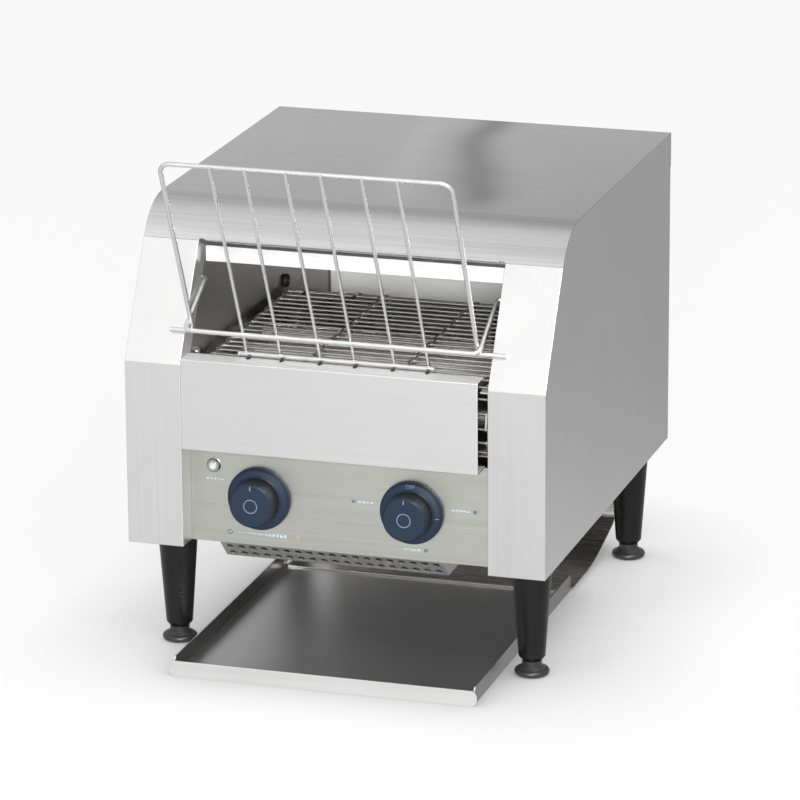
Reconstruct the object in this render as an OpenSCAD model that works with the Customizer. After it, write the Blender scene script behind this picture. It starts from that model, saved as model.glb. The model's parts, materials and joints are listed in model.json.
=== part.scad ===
// Countertop conveyor toaster. A wire belt carries bread from the loading rack between quartz heaters.
// The toast drops behind the belt, slides down the rear chute and comes out on the tray in front.
// Heights in the housing are measured from its underside, and depths from the faces of the front posts.

/* [Housing] */
// Width over the two side panels
body_w = 368; // [356:1:400]
// Depth from the post faces to the back of the hood
body_d = 414; // [408:1:450]
// Height of the hood's top above the housing's underside
body_h = 284.5; // [280:0.5:310]
// Thickness of the housing sheet
sheet = 1.2; // [0.9:0.1:1.6]
// Width of each front post
post_w = 49.5; // [46:0.5:54]
// Depth of the edge that each post turns back into the opening
post_return = 22; // [18:0.5:22]
// Height at which the post faces start to slope back
face_top = 160.9; // [156:0.1:166]
// Slope of the upper post faces, from level
face_slope = 60.8; // [58:0.1:64]
// Radius of the hood's front bend
hood_r = 56; // [46:1:64]
// Height of the hood's turned-down back edge
hood_skirt = 30; // [15:1:45]
// Thickness of the hem on the hood's front edge
hem_d = 3; // [2.6:0.1:4]

/* [Front] */
// Height of the front cover's lower edge
cover_low = 86.8; // [84:0.1:90]
// Height of the front cover
cover_h = 79.2; // [74:0.1:82]
// Gap between the front cover and the right post
cover_gap = 8.6; // [4:0.1:14]
// Depth of the front cover's top edge
cover_lip = 22; // [14:0.5:22]
// Height of the upper fascia's lower edge
fascia_low = 236; // [234:0.5:238]
// Height of the upper fascia
fascia_h = 13.5; // [12:0.5:17]
// Depth of the upper fascia behind the post faces
fascia_y = 61; // [60:0.5:66]
// Height of the knob centres
knob_z = 42.7; // [38:0.1:50]
// Distance of the speed knob's centre from the left post
speed_knob_in = 61.9; // [54.5:0.1:74.5]
// Distance of the function knob's centre from the right post
function_knob_in = 72; // [59.5:0.1:84.5]
// Diameter of a knob's skirt
skirt_d = 55; // [44:0.5:58]
// Diameter of a knob's cap
cap_d = 40; // [30:0.5:42]
// Distance that a knob stands out from the panel
knob_out = 26; // [20:0.5:32]
// Distance of the power lamp's centre from the left post
lamp_in = 20.9; // [16.5:0.1:26.5]
// Height of the power lamp
lamp_z = 68.2; // [60:0.1:74]
// Diameter of the power lamp's bezel
lamp_d = 12.5; // [9:0.5:16]

/* [Vent box] */
// Columns of holes in the vent box
vent_columns = 19; // [8:1:19]
// Spacing of the vent holes across the front
vent_pitch = 10.2; // [8:0.1:10.2]
// Diameter of a vent hole
vent_d = 6.2; // [3:0.1:6.4]
// Height that the vent box hangs below the housing
vent_drop = 17; // [17:0.5:22]
// Distance of the vent box's centre left of the centre line
vent_x = 10.2; // [0:0.1:12]
// Depth of the vent box's flat bottom
vent_flat = 110; // [96:1:130]

/* [Belt] */
// Distance between neighbouring belt wires
belt_pitch = 12.7; // [12.5:0.1:13]
// Teeth on each belt sprocket
belt_teeth = 16; // [16:2:16]
// Belt pitches between the two shafts
belt_run = 17; // [17:1:18]
// Diameter of a belt wire
belt_wire = 2.2; // [1.8:0.1:2.6]
// Gap between the belt's edges and the inner walls
belt_gap = 5.7; // [4.7:0.1:15.7]
// Height of the wires' centres in the top run
belt_z = 152.5; // [151:0.1:154]
// Distance of the front shaft behind the post faces
shaft_y = 55; // [54:0.5:57]
// Diameter of the belt shafts
shaft_d = 12; // [10:0.5:14]
// Distance of the inner joint columns from the centre line
joint_x = 42; // [30:1:46]

/* [Heating] */
// Diameter of a quartz tube
tube_d = 11; // [9:0.5:12]
// Height of the upper tubes
upper_tube_z = 228; // [226:0.5:230]
// Height of the lower tubes
lower_tube_z = 127; // [124:0.5:129]
// Spacing of the tubes from front to back
tube_gap = 50; // [40:1:54]
// Distance of the foremost upper tube behind the post faces
upper_tube_y = 125; // [118:1:130]
// Distance of the foremost lower tube behind the post faces
lower_tube_y = 122; // [120:1:134]

/* [Loading rack] */
// Diameter of the rack's frame wire
rack_wire = 4; // [3.6:0.1:4.4]
// Diameter of the rack's slats
slat_wire = 3; // [2.4:0.1:3.4]
// Height of the rack's rest bar
rest_z = 188; // [186:0.5:190]
// Length of the rest bar
rest_w = 294; // [288:1:310]
// Lean of the rack from upright
rack_lean = 24.5; // [20:0.1:28]
// Height of the rack above its rest bar, along its slope
rack_h = 176; // [150:1:190]
// Distance of the rack's middle to the left of the housing's middle
rack_side = 3.5; // [-4:0.5:4]
// Clearance between the rack's arms and the posts
rack_in = 0.4; // [0.3:0.1:4]
// Distance of the rack's pivot behind the post faces
pivot_y = 62; // [61.5:0.5:64]
// Height of the rack's pivot
pivot_z = 221.5; // [219:0.5:223]
// Distance of the stop bar below the rest bar, along the slope
stop_drop = 20.6; // [16:0.1:21]

/* [Tray and legs] */
// Length of the legs with their feet
leg_len = 102.5; // [98:0.5:125]
// Distance of the legs' centres from the side panels
leg_in = 25.8; // [24:0.1:27]
// Distance of the front legs behind the post faces
leg_front = 52; // [30:1:70]
// Distance of the rear legs before the hood's back
leg_back = 41; // [30:1:60]
// Diameter of a leg at its top
leg_top_d = 35; // [28:0.5:36]
// Diameter of a leg at its lower end
leg_low_d = 23; // [20:0.5:25]
// Diameter of a foot
foot_d = 30; // [24:0.5:34]
// Thickness of a foot's disc
foot_h = 9; // [6:0.5:11]
// Gap between the tray's sides and the front feet
tray_gap = 10.2; // [9.2:0.1:18.2]
// Distance that the tray stands out before the post faces
tray_out = 37; // [20:1:55]
// Length of the tray
tray_len = 304; // [280:1:310]
// Height of the tray's side rims
rim_h = 15; // [10:0.5:20]
// Height of the tray's front lip
lip_h = 13.5; // [10:0.5:16]
// Distance that the front lip stands past each side of the tray
lip_over = 3; // [1:0.5:7]
// Height of the chute's top above the housing's underside
chute_top = 111.5; // [90:0.5:120]
// Height of the chute's ramp where it meets the back
ramp_h = 17; // [12:0.5:24]

/* [Drive] */
// Distance between the drive chain's links
chain_pitch = 9.525; // [9.4:0.005:9.6]
// Teeth on each chain sprocket
chain_teeth = 12; // [12:2:12]
// Chain pitches between the motor and the front shaft
chain_run = 11; // [11:1:11]
// Diameter of the gear motor
motor_d = 58; // [50:1:62]
// Size of the cooling fan's square frame
fan_w = 80; // [70:1:84]

/* [Hidden] */

// Clearances: beside a moving piece, in a running fit, and of a wire in a sprocket or link
side_gap = 0.3;
run_fit = 0.05;
wire_fit = 0.3;

half_w = body_w / 2;
open_x = half_w - post_w;
wall_x = open_x + sheet;
wall_out = wall_x + sheet;
inner_back = body_d - 2 * sheet;
hood_edge = body_h - hood_skirt;
speed_knob_x = open_x - speed_knob_in;
function_knob_x = open_x - function_knob_in;
lamp_x = open_x - lamp_in;

// The hood's bend is tangent to the sloping post faces and to the level top
arc_z = body_h - hood_r;
slope_len = (arc_z + hood_r * cos(face_slope) - face_top) / sin(face_slope);
arc_y = slope_len * cos(face_slope) + hood_r * sin(face_slope);

cover_top = cover_low + cover_h;
panel_y = post_return;
panel_back = panel_y + sheet;
shield_z = cover_low - 11;

belt_r = belt_pitch / 2 / sin(180 / belt_teeth);
shaft_z = belt_z - belt_r;
rear_shaft_y = shaft_y + belt_run * belt_pitch;
belt_count = 2 * belt_run + belt_teeth;
eye_r = belt_wire / 2 + 1;
eye_w = 1.8;
belt_w = 2 * (wall_x - belt_gap);
bush_d = shaft_d + 6;
sprocket_w = 3;
hub_w = 16;

// The outer sprockets stand in from the belt's edges, the inner ones beside the inner joint columns
outer_spot = belt_w / 2 - 18;
inner_spot = joint_x + 24;
sprocket_spots = [-outer_spot, -inner_spot, inner_spot, outer_spot];

chain_r = chain_pitch / 2 / sin(180 / chain_teeth);
chain_count = 2 * chain_run + chain_teeth;
chain_slope = 45;
chain_x = wall_out + 14;
roller_d = 5.08;
motor_y = shaft_y + chain_run * chain_pitch * cos(chain_slope);
motor_z = shaft_z - chain_run * chain_pitch * sin(chain_slope);

tube_count = 3;
cap_wall = 3.5;
cap_d2 = tube_d + 2 * cap_wall;
cap_len = 14;

// The rest bar lies on the sloping post faces
rest_y = (rest_z - face_top) / tan(face_slope) - (rack_wire / 2 + side_gap) / sin(face_slope);
weld = 0.3;
wire_step = rack_wire - weld;
arm_x = open_x - abs(rack_side) - rack_in - rack_wire / 2;
rack_w = 2 * (arm_x - wire_step);
slat_step = (rack_wire + slat_wire) / 2 - weld;
slat_lean = atan2(2 * slat_step - wire_step, rack_h);
slat_over = 1.6;

gland_out = 12;
gland_nut = 22;
gland_gap = 9.1;
gland_x = wall_out + gland_nut / 2 + gland_gap;
gland_z = 34;
gland_bore = 8;

tray_w = 2 * (half_w - leg_in - foot_d / 2 - tray_gap);
lip_w = tray_w + 2 * lip_over;

// The part's origin is under the middle of its depth, from the slats' top ends to the cable gland
tip_lean = rack_lean + slat_lean;
tip_y = slat_step * cos(rack_lean) - slat_wire / 2 * cos(tip_lean) - (rack_h + slat_over) * sin(tip_lean);
front_reach = rest_y + tip_y;
back_reach = body_d - sheet + gland_out;
face_y = -(front_reach + back_reach) / 2;

round_fn = 64;
bend_fn = 96;
wire_fn = 24;

// ---- Placing and outlines

// Draws its children from the post faces and the table
module from_table() {
    translate([0, face_y, 0])
        children();
}

// Draws its children from the post faces and the housing's underside
module from_housing() {
    translate([0, face_y, leg_len])
        children();
}

// Extrudes a side view, drawn as depth and height, between two widths
module across(x0, x1) {
    translate([x0, 0, 0])
        rotate([90, 0, 90])
            linear_extrude(x1 - x0)
                children();
}

// Extrudes a front view, drawn as width and height, backwards from a depth
module upright(y0, thick) {
    translate([0, y0 + thick, 0])
        rotate([90, 0, 0])
            linear_extrude(thick)
                children();
}

// A block between two corners
module block(low, high) {
    translate(low)
        cube(high - low);
}

// A rod along the width between two positions
module rod_x(x0, x1, d, fn = wire_fn) {
    translate([x0, 0, 0])
        rotate([0, 90, 0])
            cylinder(d = d, h = x1 - x0, $fn = fn);
}

function slope_end(inset) = [
    arc_y - (hood_r - inset) * sin(face_slope),
    arc_z + (hood_r - inset) * cos(face_slope)
];

function knee(inset) = [
    inset,
    face_top - inset * cos(face_slope) + inset * (1 - sin(face_slope)) * tan(face_slope)
];

// Side outline of the housing, drawn in by an inset
module housing_outline(inset) {
    top = body_h - inset;
    bend = slope_end(inset);
    difference() {
        polygon([
            [inset, 0],
            knee(inset),
            [bend[0] + (top - bend[1]) / tan(face_slope), top],
            [body_d - inset, top],
            [body_d - inset, 0]
        ]);
        difference() {
            polygon([[arc_y, arc_z], slope_end(-hood_r), [arc_y, arc_z + 2 * hood_r]]);
            translate([arc_y, arc_z])
                circle(r = hood_r - inset, $fn = bend_fn);
        }
    }
}

// The part of a side view that lies before the hood's front edge
module before_hood() {
    lip = slope_end(0);
    along = [cos(face_slope), sin(face_slope)];
    inward = [sin(face_slope), -cos(face_slope)];
    reach = 60;
    polygon([
        lip - reach * inward,
        lip + reach * inward,
        lip + reach * inward - [0, body_h],
        [-reach, -1],
        [-reach, face_top]
    ]);
}

module hood_outline() {
    difference() {
        housing_outline(0);
        housing_outline(sheet);
        before_hood();
        square([body_d + 1, hood_edge - 1]);
        translate([0, -1])
            square([arc_y, slope_end(0)[1] - hood_r]);
    }
}

// ---- Housing

module casing() {
    across(open_x, half_w)
        intersection() {
            difference() {
                housing_outline(0);
                housing_outline(sheet);
            }
            before_hood();
        }
    across(half_w - sheet, half_w)
        difference() {
            housing_outline(0);
            hood_outline();
            translate([inner_back + sheet, -1])
                square([2 * sheet, body_h + 2]);
        }
    across(open_x, open_x + sheet)
        intersection() {
            difference() {
                housing_outline(0);
                housing_outline(post_return);
            }
            before_hood();
        }
    block([half_w - 14, inner_back - sheet, sheet], [half_w, inner_back, hood_edge]);
}

module left_casing() {
    color("gainsboro")
        from_housing()
            mirror([1, 0, 0])
                casing();
}

module right_casing() {
    color("gainsboro")
        from_housing()
            casing();
}

module top_hood() {
    color("silver")
        from_housing() {
            difference() {
                across(-half_w, half_w)
                    hood_outline();
                across(side_gap - open_x, open_x - side_gap)
                    lip_outline();
            }
            across(hem_in - open_x, open_x - hem_in)
                hem_outline();
        }
}

hem_in = 5;

// The strip of the hood's front edge that the round hem takes the place of
module lip_outline() {
    translate(slope_end(0))
        rotate(face_slope)
            translate([-1, -2 * hem_d])
                square([1 + hem_d / 2, 3 * hem_d]);
}

// The hood's front edge is folded under, and shows a round edge across the opening
module hem_outline() {
    lip = slope_end(0);
    along = [cos(face_slope), sin(face_slope)];
    inward = [sin(face_slope), -cos(face_slope)];
    fold = 12;
    proud = 0.15;
    translate(lip + along * hem_d / 2 + inward * (hem_d / 2 - proud))
        circle(d = hem_d, $fn = wire_fn);
    intersection() {
        difference() {
            housing_outline(sheet / 2);
            housing_outline(hem_d - 2 * proud);
            before_hood();
            lip_outline();
        }
        translate(lip)
            circle(r = fold, $fn = round_fn);
    }
}

// A row of upright slots, drawn in a front view
module slot_row(count, pitch, slot_w, slot_h) {
    for (i = [0 : count - 1])
        translate([(i - (count - 1) / 2) * pitch, 0]) {
            square([slot_w, slot_h - slot_w], center = true);
            for (s = [-1, 1])
                translate([0, s * (slot_h - slot_w) / 2])
                    circle(d = slot_w, $fn = wire_fn);
        }
}

slot_count = 6;
slot_pitch = 5.6;
slot_size = [2.6, 34];
rear_screw_d = 4;
rear_screw_in = 8;
rear_screw_z = [30, 125, hood_edge - 18.5];
slot_row_z = [hood_edge - 94.5, hood_edge - 49.5];

module rear_cover() {
    color("lightgray")
        from_housing()
            upright(inner_back, sheet)
                difference() {
                    translate([sheet - half_w, 0])
                        square([body_w - 2 * sheet, body_h - sheet]);
                    for (s = [-1, 1])
                        for (z = slot_row_z)
                            translate([s * (wall_out + half_w) / 2, z])
                                slot_row(slot_count, slot_pitch, slot_size[0], slot_size[1]);
                    translate([-gland_x, gland_z])
                        circle(d = gland_thread, $fn = round_fn);
                    for (s = [-1, 1])
                        for (z = rear_screw_z)
                            translate([s * (half_w - rear_screw_in), z])
                                circle(d = rear_screw_d, $fn = wire_fn);
                }
}

module front_cover() {
    right = open_x - cover_gap;
    color("whitesmoke")
        from_housing()
            across(-open_x, right) {
                translate([0, cover_low])
                    square([sheet, cover_h]);
                translate([0, cover_top - sheet])
                    square([cover_lip, sheet]);
                translate([0, cover_low])
                    square([panel_back, sheet]);
            }
}

module control_panel() {
    spindle_hole = 10;
    color("lightgoldenrodyellow")
        from_housing() {
            upright(panel_y, sheet)
                difference() {
                    translate([-wall_x, 0])
                        square([2 * wall_x, cover_low]);
                    translate([-speed_knob_x, knob_z])
                        circle(d = spindle_hole, $fn = round_fn);
                    translate([function_knob_x, knob_z])
                        circle(d = spindle_hole, $fn = round_fn);
                    translate([-lamp_x, lamp_z])
                        circle(d = lamp_body_d, $fn = round_fn);
                }
            for (s = [-1, 1])
                block(
                    [s > 0 ? wall_x - sheet : -wall_x, panel_back, sheet],
                    [s > 0 ? wall_x : sheet - wall_x, panel_back + 10, cover_low - 12]
                );
        }
}

vent_w = vent_columns * vent_pitch + 4;
vent_mid = -vent_x;
vent_rows = 2;

// Side view of the vent box, drawn in by an inset
module vent_outline(inset) {
    step = inset / tan(67.5);
    polygon([
        [panel_y + inset / sin(45), 0],
        [panel_y + vent_drop - step + inset, inset - vent_drop],
        [panel_y + vent_drop + vent_flat + step - inset, inset - vent_drop],
        [panel_y + 2 * vent_drop + vent_flat - inset / sin(45), 0]
    ]);
}

module vent_box() {
    slope = vent_drop * sqrt(2);
    row_gap = slope / (vent_rows + 0.1);
    color("silver")
        from_housing() {
            difference() {
                across(vent_mid - vent_w / 2, vent_mid + vent_w / 2)
                    difference() {
                        vent_outline(0);
                        vent_outline(sheet);
                    }
                for (row = [0 : vent_rows - 1])
                    for (i = [0 : vent_columns - 1])
                        translate([vent_mid + (i - (vent_columns - 1) / 2) * vent_pitch, panel_y, 0])
                            rotate([-45, 0, 0])
                                translate([0, (row + 0.5) * row_gap + 1, -2 * sheet])
                                    cylinder(d = vent_d, h = 4 * sheet, $fn = wire_fn);
            }
            for (x = [vent_mid - vent_w / 2, vent_mid + vent_w / 2 - sheet])
                across(x, x + sheet)
                    vent_outline(0);
        }
}

pan_back = 300;

module base_pan() {
    color("darkgray")
        from_housing() {
            translate([-wall_x, panel_back, 0])
                linear_extrude(sheet)
                    difference() {
                        square([2 * wall_x, pan_back - panel_back]);
                        translate([wall_x + vent_mid - fan_w / 2 + 3, fan_y - panel_back - fan_w / 2 + 3])
                            square(fan_w - 6);
                    }
            across(-wall_x, wall_x)
                translate([pan_back - sheet, 0])
                    square([sheet, shield_z]);
        }
}

module heat_shield() {
    color("gray")
        from_housing()
            across(-wall_x, wall_x) {
                translate([panel_back, shield_z])
                    square([pan_back - panel_back, sheet]);
            }
}

function leg_spots() = [
    [-(half_w - leg_in), leg_front],
    [half_w - leg_in, leg_front],
    [-(half_w - leg_in), body_d - leg_back],
    [half_w - leg_in, body_d - leg_back]
];

stud_d = 8;
rail_h = 14;

module base_rail(side) {
    color("darkgray")
        from_housing()
            difference() {
                union() {
                    block(
                        [side > 0 ? wall_out : sheet - half_w, sheet, 0],
                        [side > 0 ? half_w - sheet : -wall_out, inner_back - sheet, sheet]
                    );
                    block(
                        [side > 0 ? wall_out : -wall_out - sheet, sheet, 0],
                        [side > 0 ? wall_out + sheet : -wall_out, inner_back - sheet, rail_h]
                    );
                }
                for (spot = leg_spots())
                    translate([spot[0], spot[1], -1])
                        cylinder(d = stud_d + 0.4, h = sheet + 2, $fn = wire_fn);
            }
}

module left_base_rail() base_rail(-1);

module right_base_rail() base_rail(1);

function tube_y(first, i) = first + i * tube_gap;

sight_hole = [279.5, 159.5];
wall_bolt = [37, 162.5];
bolt_d = 5;

module inner_wall_outline() {
    difference() {
        housing_outline(sheet);
        translate([inner_back, -1])
            square([sheet + 1, body_h + 2]);
        for (y = [shaft_y, rear_shaft_y])
            translate([y, shaft_z])
                circle(d = bush_d, $fn = round_fn);
        translate([pivot_y, pivot_z])
            circle(d = rack_wire + 2 * run_fit, $fn = round_fn);
        translate(sight_hole)
            circle(d = 10, $fn = round_fn);
        translate(wall_bolt)
            circle(d = bolt_d, $fn = wire_fn);
        for (i = [0 : tube_count - 1]) {
            translate([tube_y(upper_tube_y, i), upper_tube_z])
                circle(d = cap_d2 - 4, $fn = round_fn);
            translate([tube_y(lower_tube_y, i), lower_tube_z])
                circle(d = cap_d2 - 4, $fn = round_fn);
        }
    }
}

module left_inner_wall() {
    color("dimgray")
        from_housing()
            across(-wall_out, -wall_x)
                inner_wall_outline();
}

module right_inner_wall() {
    color("dimgray")
        from_housing()
            across(wall_x, wall_out)
                difference() {
                    inner_wall_outline();
                    translate([motor_y, motor_z])
                        circle(d = motor_boss_d, $fn = round_fn);
                }
}

module upper_fascia() {
    depth = 10;
    left_gap = 3.3;
    color("white")
        from_housing()
            across(left_gap - open_x, open_x)
                translate([fascia_y, fascia_low]) {
                    square([sheet, fascia_h]);
                    square([depth, sheet]);
                    translate([0, fascia_h - sheet])
                        square([depth, sheet]);
                }
}

reflector_front = 100;
reflector_back = 262;

module upper_reflector() {
    roof = upper_tube_z + tube_d + 8;
    edge = 14;
    color("silver")
        from_housing()
            across(-wall_x, wall_x) {
                translate([reflector_front, roof])
                    square([reflector_back - reflector_front, sheet]);
                for (y = [reflector_front, reflector_back - sheet])
                    translate([y, roof - edge])
                        square([sheet, edge]);
            }
}

lower_floor_z = lower_tube_z - tube_d - 5;
lower_front = lower_tube_y - cap_d2 - 6;
lower_back = lower_tube_y + 2 * tube_gap + tube_d;

module lower_reflector() {
    edge = 8;
    color("silver")
        from_housing()
            across(-wall_x, wall_x) {
                translate([lower_front, lower_floor_z])
                    square([lower_back - lower_front, sheet]);
                for (y = [lower_front, lower_back - sheet])
                    translate([y, lower_floor_z])
                        square([sheet, edge]);
            }
}

bed_z = 146;
bed_front = 42;
bed_back = 112;

// The bed plate lies under the belt's wires, with a slot for each sprocket and a foot on the reflector
module bed_plate() {
    left = hub_w / 2 - outer_spot;
    slot_w = sprocket_w + 4;
    slot_back = shaft_y + belt_r;
    color("whitesmoke")
        from_housing() {
            difference() {
                across(left, wall_x)
                    translate([bed_front, bed_z - sheet])
                        square([bed_back - bed_front, sheet]);
                for (x = sprocket_spots)
                    block([x - slot_w / 2, bed_front - 1, bed_z - 5], [x + slot_w / 2, slot_back, bed_z + 5]);
            }
            across(left, left + sheet)
                translate([lower_front + sheet, lower_floor_z + sheet])
                    square([bed_back - lower_front - sheet, bed_z - lower_floor_z - 1.5 * sheet]);
        }
}

module quartz_tubes(first, z) {
    reach = wall_out + cap_len - 2;
    for (i = [0 : tube_count - 1])
        translate([0, tube_y(first, i), z])
            rod_x(-reach, reach, tube_d, round_fn);
}

// Ceramic caps hold the tubes in the inner walls
module tube_caps(first, z) {
    for (i = [0 : tube_count - 1])
        for (s = [-1, 1])
            translate([0, tube_y(first, i), z])
                rotate([0, s * 90, 0])
                    translate([0, 0, wall_x])
                        rotate_extrude($fn = round_fn)
                            polygon([
                                [tube_d / 2 + run_fit, 0],
                                [cap_d2 / 2 - 2, 0],
                                [cap_d2 / 2 - 2, sheet],
                                [cap_d2 / 2, sheet],
                                [cap_d2 / 2, sheet + cap_len],
                                [0, sheet + cap_len],
                                [0, sheet + cap_len - 2],
                                [tube_d / 2 + run_fit, sheet + cap_len - 2]
                            ]);
}

module upper_heaters() {
    color("seashell")
        from_housing()
            quartz_tubes(upper_tube_y, upper_tube_z);
}

module lower_heaters() {
    color("seashell")
        from_housing()
            quartz_tubes(lower_tube_y, lower_tube_z);
}

module upper_heater_caps() {
    color("ivory")
        from_housing()
            tube_caps(upper_tube_y, upper_tube_z);
}

module lower_heater_caps() {
    color("ivory")
        from_housing()
            tube_caps(lower_tube_y, lower_tube_z);
}

// ---- Belt and drive

// Point i of a loop of equal pitches round two equal sprockets, the first of them at the origin
function loop_point(i, pitch, teeth, run) =
    let (
        r = pitch / 2 / sin(180 / teeth),
        step = 360 / teeth,
        n = i % (2 * run + teeth),
        far = n - run,
        back = far - teeth / 2,
        near = back - run
    )
    n <= run ? [n * pitch, r]
    : back < 0 ? [run * pitch + r * sin(far * step), r * cos(far * step)]
    : near <= 0 ? [(run - back) * pitch, -r]
    : [-r * sin(near * step), -r * cos(near * step)];

function heading(a, b) = atan2(b[1] - a[1], b[0] - a[0]);

// Two eyes in one plate, with a round hole at the far one
module link_plate(pitch, r, hole_d) {
    difference() {
        union() {
            circle(r = r, $fn = wire_fn);
            translate([pitch, 0])
                circle(r = r, $fn = wire_fn);
            translate([0, -r])
                square([pitch, 2 * r]);
        }
        translate([pitch, 0])
            circle(d = hole_d, $fn = wire_fn);
    }
}

// One strand: a wire across the belt, with an eye round the next wire at each joint column
module belt_strand(i) {
    stagger = (i % 2 == 0 ? -1 : 1) * (eye_w + side_gap) / 2;
    edge = belt_w / 2 - eye_w - side_gap;
    rod_x(-belt_w / 2, belt_w / 2, belt_wire);
    for (x = [-edge, -joint_x, joint_x, edge])
        across(x + stagger - eye_w / 2, x + stagger + eye_w / 2)
            link_plate(belt_pitch, eye_r, belt_wire + 2 * wire_fit);
}

module conveyor_belt() {
    color("dimgray")
        from_housing()
            translate([0, shaft_y, shaft_z])
                for (i = [0 : belt_count - 1]) {
                    here = loop_point(i, belt_pitch, belt_teeth, belt_run);
                    next = loop_point(i + 1, belt_pitch, belt_teeth, belt_run);
                    translate([0, here[0], here[1]])
                        rotate([heading(here, next), 0, 0])
                            belt_strand(i);
                }
}

// A sprocket blank with a flared gap for each wire or roller
module sprocket(teeth, pitch, pin_d, bore_d, width) {
    r = pitch / 2 / sin(180 / teeth);
    seat = pin_d / 2 + wire_fit;
    depth = pin_d + 1.2;
    across(-width / 2, width / 2)
        difference() {
            circle(r = r + pin_d * 0.8, $fn = bend_fn);
            circle(d = bore_d, $fn = round_fn);
            for (i = [0 : teeth - 1])
                rotate(90 + i * 360 / teeth)
                    translate([r, 0]) {
                        circle(r = seat, $fn = wire_fn);
                        polygon([[0, -seat], [depth, -seat * 1.9], [depth, seat * 1.9], [0, seat]]);
                    }
        }
}

module belt_sprockets() {
    for (x = sprocket_spots)
        translate([x, 0, 0]) {
            sprocket(belt_teeth, belt_pitch, belt_wire, shaft_d, sprocket_w);
            rotate([0, 90, 0])
                rotate_extrude($fn = round_fn)
                    translate([shaft_d / 2, -hub_w / 2])
                        square([4, hub_w]);
        }
}

module front_sprockets() {
    color("slategray")
        from_housing()
            translate([0, shaft_y, shaft_z])
                belt_sprockets();
}

module rear_sprockets() {
    color("slategray")
        from_housing()
            translate([0, rear_shaft_y, shaft_z])
                belt_sprockets();
}

module front_shaft() {
    color("lightsteelblue")
        from_housing()
            translate([0, shaft_y, shaft_z])
                rod_x(-wall_out - 6, chain_x + 8, shaft_d, round_fn);
}

module rear_shaft() {
    color("lightsteelblue")
        from_housing()
            translate([0, rear_shaft_y, shaft_z])
                rod_x(-wall_out - 6, wall_out + 6, shaft_d, round_fn);
}

// Flanged bushes in the inner walls carry both shafts
module shaft_bushes() {
    color("goldenrod")
        from_housing()
            for (y = [shaft_y, rear_shaft_y])
                for (s = [-1, 1])
                    translate([0, y, shaft_z])
                        rotate([0, s * 90, 0])
                            translate([0, 0, wall_x])
                                rotate_extrude($fn = round_fn)
                                    polygon([
                                        [shaft_d / 2 + run_fit, 0],
                                        [bush_d / 2, 0],
                                        [bush_d / 2, sheet],
                                        [bush_d / 2 + 3, sheet],
                                        [bush_d / 2 + 3, sheet + 2],
                                        [bush_d / 2, sheet + 2],
                                        [bush_d / 2, sheet + 4],
                                        [shaft_d / 2 + run_fit, sheet + 4]
                                    ]);
}

motor_boss_d = 22;
motor_len = 46;
motor_shaft_d = 8;
gearbox_w = 60;
gearbox_d = 20;
bracket_w = 76;

module gear_motor() {
    color("dimgray")
        from_housing()
            translate([wall_x - 3, motor_y, motor_z]) {
                difference() {
                    union() {
                        rod_x(-motor_len - gearbox_d, -gearbox_d, motor_d, round_fn);
                        across(-gearbox_d, 0)
                            translate([-gearbox_w / 2, -motor_d / 2])
                                square([gearbox_w, motor_d]);
                        rod_x(0, 3 + sheet + 2, motor_boss_d - 0.4, round_fn);
                    }
                    rod_x(-10, 10, motor_shaft_d + 2 * run_fit, round_fn);
                }
            }
}

// The bracket screws the motor's gearbox to the right inner wall
module motor_bracket() {
    color("silver")
        from_housing()
            translate([0, motor_y, motor_z])
                across(wall_x - 3, wall_x)
                    difference() {
                        translate([-bracket_w / 2, -motor_d / 2])
                            square([bracket_w, motor_d]);
                        circle(d = motor_boss_d + 1, $fn = round_fn);
                    }
}

module motor_sprocket() {
    color("slategray")
        from_housing()
            translate([0, motor_y, motor_z]) {
                translate([chain_x, 0, 0])
                    rotate([-chain_slope, 0, 0])
                        sprocket(chain_teeth, chain_pitch, roller_d, motor_shaft_d - 1, sprocket_w);
                rod_x(wall_x - 3 - 9, chain_x + 6, motor_shaft_d, round_fn);
            }
}

module shaft_sprocket() {
    color("slategray")
        from_housing()
            translate([chain_x, shaft_y, shaft_z]) {
                rotate([-chain_slope, 0, 0])
                    sprocket(chain_teeth, chain_pitch, roller_d, shaft_d, sprocket_w);
                rotate([0, 90, 0])
                    rotate_extrude($fn = round_fn)
                        translate([shaft_d / 2, -7])
                            square([3.5, 12]);
            }
}

// One link of the chain: a roller on its pin, and a plate on each side with an eye for the next pin
module chain_link(i) {
    plate = 1;
    pin_d = 2.4;
    roller_half = sprocket_w / 2 + side_gap;
    inner = roller_half + side_gap + (i % 2 == 0 ? plate + side_gap : 0);
    pin_half = roller_half + 2 * (plate + side_gap) + side_gap;
    rod_x(-roller_half, roller_half, roller_d);
    rod_x(-pin_half, pin_half, pin_d);
    for (s = [0, 1])
        mirror([s, 0, 0])
            across(inner, inner + plate)
                link_plate(chain_pitch, 3.2, pin_d + 2 * wire_fit);
}

module drive_chain() {
    color("dimgray")
        from_housing()
            translate([chain_x, shaft_y, shaft_z])
                rotate([-chain_slope, 0, 0])
                    for (i = [0 : chain_count - 1]) {
                        here = loop_point(i, chain_pitch, chain_teeth, chain_run);
                        next = loop_point(i + 1, chain_pitch, chain_teeth, chain_run);
                        translate([0, here[0], here[1]])
                            rotate([heading(here, next), 0, 0])
                                chain_link(i);
                    }
}

fan_y = 92;
fan_h = 25;
fan_bore = fan_w - 5;
fan_hub_d = 32;

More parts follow.
